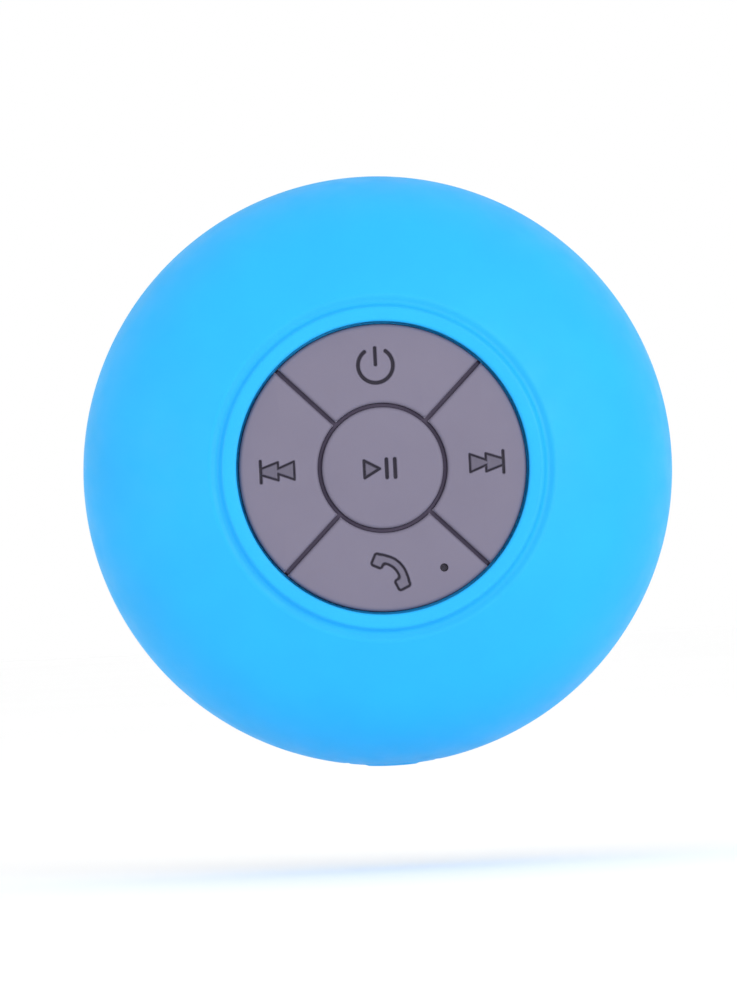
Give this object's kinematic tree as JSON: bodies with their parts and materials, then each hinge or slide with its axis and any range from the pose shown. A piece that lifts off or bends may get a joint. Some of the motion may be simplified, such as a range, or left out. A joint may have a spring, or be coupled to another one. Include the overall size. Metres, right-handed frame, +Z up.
{
  "type": "shower speaker",
  "caption": "Round wall speaker with a soft blue skin, a grey five-key pad, a rear suction cup on a stud and a flap over its charging port.",
  "frame": {"origin": "centre of the suction cup's flat rim, on the wall plane", "axes": "+Z up in use with the power key on top, -Y away from the wall towards the user, +X to the user's right"},
  "size_m": [0.086, 0.0519, 0.086],
  "materials": {
    "clear_cup": "clear soft vinyl, glossy",
    "white_plastic": "satin moulded plastic",
    "steel": "plain steel",
    "blue_silicone": "matte silicone",
    "dark_shell": "moulded plastic",
    "rear_plastic": "fine-grained moulded plastic",
    "black_rubber": "matte rubber",
    "mesh_cloth": "fine woven mesh",
    "mat_silicone": "matte silicone",
    "key_silicone": "matte silicone",
    "green_board": "solder mask over glass laminate",
    "switch_plastic": "moulded plastic",
    "lamp": "clear resin",
    "chip_black": "epoxy package",
    "shield_can": "tinned steel can over a green module",
    "cell_foil": "foil pouch",
    "foam": "adhesive foam",
    "wire_red": "wire insulation",
    "wire_blue": "wire insulation",
    "port_metal": "nickel-plated steel",
    "basket_metal": "black-painted steel",
    "plated_metal": "zinc-plated steel",
    "ferrite": "ground ferrite",
    "cone_film": "moulded film",
    "spider_cloth": "resin-dipped cloth",
    "copper": "enamelled copper winding"
  },
  "bodies": {
    "cup": {"suction_cup": "clear_cup"},
    "stud": {"cup_stud": "white_plastic", "stud_clip": "steel"},
    "housing": {"silicone_skin": "blue_silicone", "front_shell": "dark_shell", "rear_cover": "rear_plastic", "case_seal": "black_rubber", "case_screws": "steel", "sound_mesh": "mesh_cloth", "keypad_mat": "mat_silicone", "main_board": "green_board", "switch_bodies": "switch_plastic", "board_screws": "steel", "microphone": "port_metal", "mic_gasket": "black_rubber", "status_light": "lamp", "wireless_module": "shield_can", "amplifier_chip": "chip_black", "charger_chip": "chip_black", "battery": "cell_foil", "battery_pad": "foam", "battery_wires": "wire_red", "usb_board": "green_board", "usb_port": "port_metal", "usb_wires": "wire_blue", "driver_basket": "basket_metal", "driver_gasket": "foam", "driver_screws": "steel", "driver_front_plate": "plated_metal", "driver_magnet": "ferrite", "driver_yoke": "plated_metal", "surround": "black_rubber", "spider": "spider_cloth", "speaker_wires": "wire_red"},
    "moving_cone": {"cone": "cone_film", "dust_cap": "cone_film", "voice_coil": "copper"},
    "flap": {"usb_flap": "blue_silicone"},
    "power_key": {"key_power": "key_silicone"},
    "power_stem": {"stem_power": "chip_black"},
    "previous_key": {"key_previous": "key_silicone"},
    "previous_stem": {"stem_previous": "chip_black"},
    "play_key": {"key_play": "key_silicone"},
    "play_stem": {"stem_play": "chip_black"},
    "next_key": {"key_next": "key_silicone"},
    "next_stem": {"stem_next": "chip_black"},
    "call_key": {"key_call": "key_silicone"},
    "call_stem": {"stem_call": "chip_black"}
  },
  "joints": [
    {"name": "cup_press", "type": "slide", "parent": "cup", "child": "stud", "axis": [0, 1, 0], "range_m": [0, 0.0035], "stiffness_N_per_m": 6000, "deforming": ["suction_cup"]},
    {"name": "swivel", "type": "hinge", "parent": "stud", "child": "housing", "pos_m": [0, -0.018, 0], "axis": [0, -1, 0], "continuous": true},
    {"name": "cone_stroke", "type": "slide", "parent": "housing", "child": "moving_cone", "axis": [0, -1, 0], "range_m": [-0.0008, 0.0008], "stiffness_N_per_m": 1500, "deforming": ["surround", "spider"]},
    {"name": "flap_hinge", "type": "hinge", "parent": "housing", "child": "flap", "pos_m": [0, -0.02375, -0.04055], "axis": [1, 0, 0], "range_deg": [0, 100]},
    {"name": "power_press", "type": "slide", "parent": "housing", "child": "power_key", "axis": [0, 1, 0], "range_m": [0, 0.0004], "stiffness_N_per_m": 4000},
    {"name": "power_switch", "type": "slide", "parent": "housing", "child": "power_stem", "axis": [0, 1, 0], "range_m": [0, 0.0004]},
    {"name": "previous_press", "type": "slide", "parent": "housing", "child": "previous_key", "axis": [0, 1, 0], "range_m": [0, 0.0004], "stiffness_N_per_m": 4000},
    {"name": "previous_switch", "type": "slide", "parent": "housing", "child": "previous_stem", "axis": [0, 1, 0], "range_m": [0, 0.0004]},
    {"name": "play_press", "type": "slide", "parent": "housing", "child": "play_key", "axis": [0, 1, 0], "range_m": [0, 0.0004], "stiffness_N_per_m": 4000},
    {"name": "play_switch", "type": "slide", "parent": "housing", "child": "play_stem", "axis": [0, 1, 0], "range_m": [0, 0.0004]},
    {"name": "next_press", "type": "slide", "parent": "housing", "child": "next_key", "axis": [0, 1, 0], "range_m": [0, 0.0004], "stiffness_N_per_m": 4000},
    {"name": "next_switch", "type": "slide", "parent": "housing", "child": "next_stem", "axis": [0, 1, 0], "range_m": [0, 0.0004]},
    {"name": "call_press", "type": "slide", "parent": "housing", "child": "call_key", "axis": [0, 1, 0], "range_m": [0, 0.0004], "stiffness_N_per_m": 4000},
    {"name": "call_switch", "type": "slide", "parent": "housing", "child": "call_stem", "axis": [0, 1, 0], "range_m": [0, 0.0004]}
  ],
  "couplings": [
    {"joint": "power_switch", "follows": "power_press", "ratio": 1},
    {"joint": "previous_switch", "follows": "previous_press", "ratio": 1},
    {"joint": "play_switch", "follows": "play_press", "ratio": 1},
    {"joint": "next_switch", "follows": "next_press", "ratio": 1},
    {"joint": "call_switch", "follows": "call_press", "ratio": 1}
  ]
}
